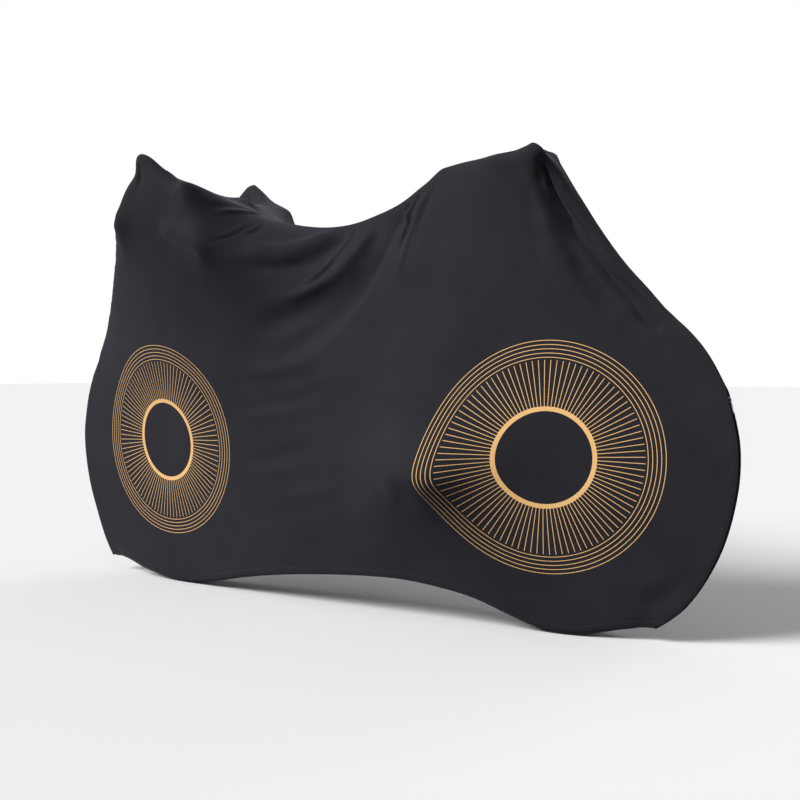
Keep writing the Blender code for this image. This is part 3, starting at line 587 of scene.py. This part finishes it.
def knit(name):
    """Black knit, with its shader, flat coordinates and colour for a print to be laid over."""
    material, tree, shader = new_material(
        name, Roughness=0.78, Sheen_Weight=0.16, Sheen_Roughness=0.50, IOR=1.46,
        Sheen_Tint=linear("#b9b4c8"), Specular_IOR_Level=0.18)
    place = add(tree, "TexCoord").outputs["Object"]
    slow = add(tree, "TexNoise", None, {"Vector": place, "Scale": 9.0, "Detail": 4.0,
                                        "Roughness": 0.55})
    shade = add(tree, "ValToRGB", None, {"Fac": slow.outputs["Fac"]})
    shade.color_ramp.elements[0].position = 0.30
    shade.color_ramp.elements[0].color = linear("#1f1e24")
    shade.color_ramp.elements[1].position = 0.72
    shade.color_ramp.elements[1].color = linear("#26252b")
    flat = add(tree, "UVMap", {"uv_map": "panel"})
    stitches, thread = seams(tree, flat)
    ribs = add(tree, "TexWave", {"bands_direction": "X", "wave_profile": "SIN"},
               {"Vector": flat.outputs["UV"], "Scale": wave_scale(RIB), "Distortion": 0.6,
                "Detail": 1.0})
    rows = add(tree, "TexWave", {"bands_direction": "Y", "wave_profile": "SIN"},
               {"Vector": flat.outputs["UV"], "Scale": wave_scale(COURSE), "Distortion": 0.4,
                "Detail": 1.0})
    loops = add(tree, "Math", {"operation": "MULTIPLY"}, (ribs.outputs["Fac"], rows.outputs["Fac"]))
    soft = add(tree, "TexNoise", None, {"Vector": place, "Scale": 26.0, "Detail": 3.0})
    creased = add(tree, "Bump", None, {"Height": soft.outputs["Fac"], "Strength": 0.25,
                                       "Distance": 0.004})
    bump = add(tree, "Bump", None, {"Height": loops, "Strength": 0.25, "Distance": 0.0004,
                                    "Normal": creased})
    sewn = add(tree, "Bump", None, {"Height": stitches, "Strength": 0.45, "Distance": 0.0010,
                                    "Normal": bump})
    cloth = add(tree, "Mix", {"data_type": "RGBA"}, {0: thread, 6: shade.outputs["Color"],
                                                     7: linear("#2c2b31")})
    tree.links.new(sewn.outputs["Normal"], shader.inputs["Normal"])
    tree.links.new(cloth.outputs[2], shader.inputs["Base Color"])
    return material, tree, shader, flat, cloth


right.data.materials.append(knit("black_knit_plain")[0])

# %% [markdown]
# ## Orange print
#
# The left panel carries a screen print in orange over each wheel. Here it is a plain sunburst: thin
# rays between a bold inner ring and a few fine outer rings, centred near the hubs like a wheel. It
# is all arithmetic on the panel's flat coordinates: the distance from the centre makes the rings, and
# the angle makes the rays. Screen ink soaks into a knit, so the print is as matt as the cloth.

# %% Print material
PRINT_INWARDS = 0.005       # the print's centres lie this much nearer to the middle than the hubs
RAY_COUNT = 96
RAY_WIDTH = 0.0013          # of the printed lines, in metres
BOLD_RING = (0.090, 0.099)  # radii of its inner and outer edge
RAYS = (0.099, 0.189)       # radii between which the rays run
FINE_RINGS = (0.194, 0.2022, 0.2105, 0.2187, 0.227)


def sunburst(tree, flat, centre):
    """1 where the print covers the cloth round one hub, else 0."""
    away = add(tree, "VectorMath", {"operation": "SUBTRACT"}, (flat.outputs["UV"], (*centre, 0)))
    reach = add(tree, "VectorMath", {"operation": "LENGTH"}, (away,)).outputs["Value"]
    split = add(tree, "SeparateXYZ", None, (away,))
    turn = add(tree, "Math", {"operation": "ARCTAN2"}, (split.outputs["Y"], split.outputs["X"]))
    # the angle from the nearest ray, and from it the distance, which is the same all along a ray
    step = 2 * math.pi / RAY_COUNT
    wrapped = add(tree, "Math", {"operation": "WRAP"}, (turn, step, 0.0))
    shifted = add(tree, "Math", {"operation": "SUBTRACT"}, (wrapped, step / 2))
    off = add(tree, "Math", {"operation": "ABSOLUTE"}, (shifted,))
    aside = add(tree, "Math", {"operation": "MULTIPLY"}, (off, reach))
    ray = add(tree, "Math", {"operation": "LESS_THAN"}, (aside, RAY_WIDTH / 2))
    total = 0.0
    bands = [(ray, *RAYS), (1.0, *BOLD_RING)]
    bands += [(1.0, radius - RAY_WIDTH / 2, radius + RAY_WIDTH / 2) for radius in FINE_RINGS]
    for ink, low, high in bands:
        past = add(tree, "Math", {"operation": "GREATER_THAN"}, (reach, low))
        within = add(tree, "Math", {"operation": "LESS_THAN"}, (reach, high))
        band = add(tree, "Math", {"operation": "MULTIPLY"}, (past, within))
        inked = add(tree, "Math", {"operation": "MULTIPLY"}, (band, ink))
        total = add(tree, "Math", {"operation": "MAXIMUM"}, (total, inked))
    return total


printed_knit, tree, shader, flat, cloth = knit("black_knit_printed")
front_print = sunburst(tree, flat, (-HUB_X + PRINT_INWARDS, HUB_Z))
rear_print = sunburst(tree, flat, (HUB_X - PRINT_INWARDS, HUB_Z))
both = add(tree, "Math", {"operation": "MAXIMUM"}, (front_print, rear_print))
inked = add(tree, "Mix", {"data_type": "RGBA"}, {0: both, 6: cloth.outputs[2], 7: linear("#ffcc88")})
tree.links.new(inked.outputs[2], shader.inputs["Base Color"])
left.data.materials.append(printed_knit)

# %% [markdown]
# ## The zip
#
# A nylon coil zip on woven tape. The rigid chain is a smooth strip, so its middle line is read from
# it station by station, made a smooth curve, and real teeth are set along that curve.

# %% Line of the zip
STATION_GAP = 0.006         # points of the chain further apart in height are of different stations
ZIP_STEPS = 30
LOOK = 0.002                # how far ahead and behind the zip's direction is taken


def points_of(node):
    """A CAD node's points as an array."""
    return np.array([vert.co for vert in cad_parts[node].data.vertices])


chain = points_of("zip_chain")
chain = chain[np.argsort(-chain[:, 2])]
groups = [[chain[0]]]
for point in chain[1:]:
    if abs(point[2] - groups[-1][0][2]) > STATION_GAP:
        groups.append([])
    groups[-1].append(point)
stations = np.array([np.mean(np.unique(np.round(group, 6), axis=0), axis=0) for group in groups])
stations[:, 1] = 0.0
print("zip stations", len(stations), "length m",
      round(float(np.linalg.norm(np.diff(stations, axis=0), axis=1).sum()), 3))
zip_curve = smooth_path(stations, ZIP_STEPS)
zip_run = np.concatenate([[0.0], np.cumsum(np.linalg.norm(np.diff(zip_curve, axis=0), axis=1))])


def on_zip(run):
    """The point at a distance down the zip."""
    return Vector([np.interp(run, zip_run, zip_curve[:, k]) for k in range(3)])


def place_at(point, down):
    """A matrix at a point of the middle plane: X down, Y across, Z out to the rear."""
    out = down.cross(Vector((0, 1, 0)))
    out = out if out.x > 0 else -out
    matrix = Matrix((down, out.cross(down), out)).transposed().to_4x4()
    matrix.translation = point
    return matrix


def zip_place(run):
    """The matrix at a distance down the zip."""
    return place_at(on_zip(run), (on_zip(run + LOOK) - on_zip(run - LOOK)).normalized())


# %% [markdown]
# Each tooth of a coil zip is one loop of nylon, seen from outside as a short rounded bar that comes
# from one tape and ends just past the middle, between its neighbours from the other tape.

# %% Teeth
PITCH = 0.0016              # from one tooth to the next, which sits on the other tape
TOOTH = (0.0011, 0.0032, 0.0012)        # along the zip, across it, and outwards
TOOTH_SIDE = 0.0008         # a tooth's middle lies this far to its own tape's side
TOOTH_OUT = 0.0002          # and this far out from the middle of the chain
FIRST_TOOTH = 0.001         # down from the zip's upper end, and as far up from its lower end


def small_object(name, shape, material, node):
    """A piece of the zip in place of its CAD node."""
    mesh = bpy.data.meshes.new(name)
    bmesh.ops.recalc_face_normals(shape, faces=shape.faces)
    for face in shape.faces:
        face.smooth = True
    shape.to_mesh(mesh)
    shape.free()
    mesh.materials.append(material)
    obj = bpy.data.objects.new(name, mesh)
    bpy.context.scene.collection.objects.link(obj)
    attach(obj, "root")
    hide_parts(node)


# nylon that is bent warm round a cord and keeps a satin skin, so the teeth have small soft glints
nylon, tree, shader = new_material("moulded_nylon", Base_Color=linear("#1d1c21"), Roughness=0.42,
                                   IOR=1.53)
place = add(tree, "TexCoord").outputs["Object"]
grain = add(tree, "TexNoise", None, {"Vector": place, "Scale": 900.0, "Detail": 2.0})
bump = add(tree, "Bump", None, {"Height": grain.outputs["Fac"], "Strength": 0.2, "Distance": 0.0002})
tree.links.new(bump.outputs["Normal"], shader.inputs["Normal"])

teeth = bmesh.new()
count = int((zip_run[-1] - 2 * FIRST_TOOTH) / PITCH)
for k in range(count):
    side = 1 if k % 2 else -1
    matrix = zip_place(FIRST_TOOTH + k * PITCH)
    shift = Matrix.Translation((0, side * TOOTH_SIDE, TOOTH_OUT))
    size = Matrix.Diagonal((*TOOTH, 1))
    bmesh.ops.create_uvsphere(teeth, u_segments=8, v_segments=6, radius=0.5,
                              matrix=matrix @ shift @ size)
print("teeth:", count)
small_object("zip_teeth", teeth, nylon, "zip_chain")

# %% [markdown]
# The tapes are woven and lie under the panels' edges, so the rigid strips keep their shape and only
# get their cloth.

# %% Tape material
WEFT = 0.0012               # from one drawn row of the weave to the next; a real one is about 0.4 mm

# woven polyester, matt, with rows that show as a faint change of tone and height
tape, tree, shader = new_material("woven_tape", Roughness=0.8, Sheen_Weight=0.2, IOR=1.46)
place = add(tree, "TexCoord").outputs["Object"]
weave = add(tree, "TexWave", {"bands_direction": "Z"},
            {"Vector": place, "Scale": wave_scale(WEFT), "Distortion": 0.5})
tone = add(tree, "ValToRGB", None, {"Fac": weave.outputs["Fac"]})
tone.color_ramp.elements[0].color = linear("#1a191d")
tone.color_ramp.elements[1].color = linear("#26252a")
bump = add(tree, "Bump", None, {"Height": weave.outputs["Fac"], "Strength": 0.4, "Distance": 0.0002})
tree.links.new(tone.outputs["Color"], shader.inputs["Base Color"])
tree.links.new(bump.outputs["Normal"], shader.inputs["Normal"])
for node in ("zip_tape_left", "zip_tape_right"):
    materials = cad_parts[node].data.materials
    materials.clear()
    materials.append(tape)

# %% Slider and pull material
# zinc cast in a mould and sprayed dark grey; the thin paint lets the metal's glint through
metal, tree, shader = new_material("painted_zinc", Metallic=0.85, Roughness=0.36)
place = add(tree, "TexCoord").outputs["Object"]
wear = add(tree, "TexNoise", None, {"Vector": place, "Scale": 260.0, "Detail": 4.0})
tone = add(tree, "ValToRGB", None, {"Fac": wear.outputs["Fac"]})
tone.color_ramp.elements[0].color = linear("#3b3c40")
tone.color_ramp.elements[1].color = linear("#5a5b60")
bump = add(tree, "Bump", None, {"Height": wear.outputs["Fac"], "Strength": 0.15, "Distance": 0.0002})
tree.links.new(tone.outputs["Color"], shader.inputs["Base Color"])
tree.links.new(bump.outputs["Normal"], shader.inputs["Normal"])

# %% [markdown]
# The slider is a small casting: a plate that narrows towards its lower end, a channel's lip down
# each side, and a bridge over it that holds the pull. The plate and the lips are boxes with round
# edges, and the bridge is a bar turned through half a circle. They are made flat, X down the zip and
# Z outwards, and then moved to their place on the zip.

# %% Slider
SLIDER_LENGTH, SLIDER_WIDTH, SLIDER_THICK = 0.0110, 0.0090, 0.0020
SLIDER_LIFT = 0.0024        # its plate lies this far out from the middle of the teeth
SLIDER_EDGE = 0.0006        # the cast edges' roundness
TAPER = 0.22                # how much narrower its lower end is
LIP_SHARE = 0.8             # of the slider's length
LIP_WIDTH, LIP_HEIGHT, LIP_EDGE = 0.0008, 0.0011, 0.0003
LIP_SIDE = 0.0030           # from the middle to each lip
BRIDGE_RADIUS = 0.0026
BRIDGE_WIDTH, BRIDGE_THICK = 0.0028, 0.0009
BRIDGE_SUNK = 0.0002        # its feet go this far into the plate


def bevelled_box(shape, size, centre, offset, segments=2):
    """A box with rounded edges, added to a bmesh."""
    made = bmesh.ops.create_cube(shape, size=1.0)["verts"]
    bmesh.ops.scale(shape, vec=size, verts=made)
    bmesh.ops.translate(shape, vec=centre, verts=made)
    edges = list({edge for vert in made for edge in vert.link_edges})
    bmesh.ops.bevel(shape, geom=edges, offset=offset, segments=segments, affect="EDGES", profile=0.5,
                    material=-1)


def merge_into(shape, part):
    """Add one bmesh to another, and free it."""
    carrier = bpy.data.meshes.new("carrier")
    part.to_mesh(carrier)
    part.free()
    shape.from_mesh(carrier)


slider = bmesh.new()
bevelled_box(slider, (SLIDER_LENGTH, SLIDER_WIDTH, SLIDER_THICK), (0, 0, 0), SLIDER_EDGE, 3)
for vert in slider.verts:                       # narrower at its lower end
    vert.co.y *= 1.0 - TAPER * (vert.co.x / SLIDER_LENGTH + 0.5)
for side in (-1, 1):
    bevelled_box(slider, (SLIDER_LENGTH * LIP_SHARE, LIP_WIDTH, LIP_HEIGHT),
                 (0.0, side * LIP_SIDE, LIP_HEIGHT), LIP_EDGE)
arch = bmesh.new()
foot = [arch.verts.new((-BRIDGE_RADIUS + dx * BRIDGE_THICK / 2, dy * BRIDGE_WIDTH / 2, 0))
        for dx, dy in ((-1, -1), (1, -1), (1, 1), (-1, 1))]
bmesh.ops.spin(arch, geom=[arch.faces.new(foot)], cent=(0, 0, 0), axis=(0, 1, 0), angle=math.pi,
               steps=12, use_merge=False)
bmesh.ops.holes_fill(arch, edges=[edge for edge in arch.edges if edge.is_boundary], sides=4)
bmesh.ops.translate(arch, vec=(0, 0, SLIDER_THICK / 2 - BRIDGE_SUNK), verts=arch.verts)
merge_into(slider, arch)
seat = zip_place(SLIDER_LENGTH / 2) @ Matrix.Translation((0, 0, SLIDER_LIFT))
bmesh.ops.transform(slider, matrix=seat, verts=slider.verts)
small_object("slider_body", slider, metal, "zip_slider")

# %% [markdown]
# The pull hangs from the bridge by a ring. Its flat tab has a raised rim, as a pressed one has.

# %% Pull
PULL_WIDTH, PULL_THICK, PULL_EDGE = 0.0068, 0.0014, 0.0005
RING_RADIUS, RING_WIRE = 0.0027, 0.0012
WAIST, WAIST_REACH = 0.25, 0.003        # how much narrower the tab is below the ring, and how far
RIM, SUNK = 0.0007, 0.0002              # width of the tab's rim, and depth of its middle
PULL_END = 0.001            # points within this height of an end are of that end
BROAD_FACE = 2e-5           # in square metres; only the tab's front and back are larger
STRAIGHT_OUT = 0.99         # of their normals' length lies along Z

hung = points_of("zip_pull")
top = Vector(hung[hung[:, 2] > hung[:, 2].max() - PULL_END].mean(axis=0))
tip = Vector(hung[hung[:, 2] < hung[:, 2].min() + PULL_END].mean(axis=0))
pull_length = (tip - top).length
pull = bmesh.new()
bevelled_box(pull, (pull_length - 2 * RING_RADIUS, PULL_WIDTH, PULL_THICK),
             (RING_RADIUS + pull_length / 2, 0, 0), PULL_EDGE)
for vert in pull.verts:                         # a waist below the ring
    below = vert.co.x - 2 * RING_RADIUS
    vert.co.y *= 1.0 - WAIST * math.exp(-(below / WAIST_REACH) ** 2)
for depth in (0.0, -SUNK):                      # a rim, and inside it the sunk middle
    broad = [face for face in pull.faces
             if face.calc_area() > BROAD_FACE and abs(face.normal.z) > STRAIGHT_OUT]
    bmesh.ops.inset_individual(pull, faces=broad, thickness=RIM, depth=depth)
loop = bmesh.new()
wire = [loop.verts.new((RING_RADIUS + dx * RING_WIRE / 2, 0, dz * RING_WIRE / 2))
        for dx, dz in ((-1, -1), (1, -1), (1, 1), (-1, 1))]
first = loop.faces.new(wire)
bmesh.ops.spin(loop, geom=[first], cent=(0, 0, 0), axis=(0, 0, 1), angle=2 * math.pi, steps=20,
               use_merge=True)
inside = [face for face in loop.faces if all(abs(vert.co.y) < SAME_POINT for vert in face.verts)]
bmesh.ops.delete(loop, geom=inside, context="FACES_ONLY")
bmesh.ops.translate(loop, vec=(RING_RADIUS, 0, 0), verts=loop.verts)
merge_into(pull, loop)
hang = place_at(top, (tip - top).normalized())
bmesh.ops.transform(pull, matrix=hang, verts=pull.verts)
small_object("pull_tab", pull, metal, "zip_pull")
print("pull length mm", round(pull_length / MM, 1))

# %% [markdown]
# ## Sheets
#
# Each panel was cut to 1.78 m along the bicycle and
# 1.06 m from the hem to the top, with 1.51 square metres left inside its curved outline. The cover
# stays stretched over the bicycle, and nothing but the bicycle carries it.

# %% [markdown]
# ## Floor, light and camera
#
# A wide pale floor under a sky that the camera sees as white. The sky's light on the cloth is weak, a
# little stronger from above, and a large soft lamp up on the left, a little behind the camera, draws
# the folds. A second, weak lamp on the far side shows the plain panel's folds too. The camera stands
# behind and to the left of the bicycle, at half its height.

# %% Floor
FLOOR_HALF = 30.0

floor_shape = bmesh.new()
bmesh.ops.create_grid(floor_shape, x_segments=1, y_segments=1, size=FLOOR_HALF,
                      matrix=Matrix.Translation((0, 0, -SADDLE_SUPPORT.z)))
floor_mesh = bpy.data.meshes.new("floor")
floor_shape.to_mesh(floor_mesh)
floor_shape.free()
floor = bpy.data.objects.new("floor", floor_mesh)
bpy.context.scene.collection.objects.link(floor)
# a wide roll of white paper, matt
paper = new_material("pale_floor", Base_Color=linear("#fafafa"), Roughness=0.9)[0]
floor_mesh.materials.append(paper)
floor.visible_diffuse = False           # so near a floor would fill the folds with light from below

# %% Light
SKY_LOW, SKY_HIGH = 0.12, 0.34          # its light from below and from above

world = bpy.data.worlds.new("studio")
world.use_nodes = True
bpy.context.scene.world = world
sky = world.node_tree
height = add(sky, "SeparateXYZ", None, (add(sky, "TexCoord").outputs["Generated"],))
glow = add(sky, "MapRange", None, {"Value": height.outputs["Z"], "From Min": -0.4, "From Max": 0.9,
                                   "To Min": SKY_LOW, "To Max": SKY_HIGH})
seen = add(sky, "LightPath").outputs["Is Camera Ray"]
level = add(sky, "Math", {"operation": "MAXIMUM"}, (seen, glow))
sky.links.new(level.outputs[0], sky.nodes["Background"].inputs["Strength"])
sky.nodes["Background"].inputs["Color"].default_value = (1, 1, 1, 1)


def soft_lamp(name, energy, spread, way):
    """A far lamp as wide as the given angle in degrees, in the direction of way."""
    data = bpy.data.lights.new(name, "SUN")
    data.energy = energy
    data.angle = math.radians(spread)
    lamp = bpy.data.objects.new(name, data)
    lamp.rotation_euler = Vector(way).to_track_quat("Z", "Y").to_euler()
    bpy.context.scene.collection.objects.link(lamp)


KEY_WAY = (-0.42, -0.70, 0.59)          # -X is to the front, -Y to the left
FILL_WAY = (0.20, 0.95, 0.10)
soft_lamp("soft_key", 3.35, 26, KEY_WAY)
soft_lamp("far_side_fill", 1.0, 30, FILL_WAY)

# %% Camera
CAMERA_PLACE = Vector((1.4747, -2.0779, 0.5209))        # over the floor, like the folds
CAMERA_TURN = math.radians(33)
CAMERA_DIP = 0.0278         # how far it looks down, in radians

camera_data = bpy.data.cameras.new("camera")
camera_data.lens = 51.59
camera_data.sensor_width = 36.0
camera = bpy.data.objects.new("camera", camera_data)
camera.location = CAMERA_PLACE - SADDLE_SUPPORT
camera.rotation_euler = (math.pi / 2 - CAMERA_DIP, 0, CAMERA_TURN)
bpy.context.scene.collection.objects.link(camera)
bpy.context.scene.camera = camera
bpy.context.scene.view_settings.view_transform = "Standard"
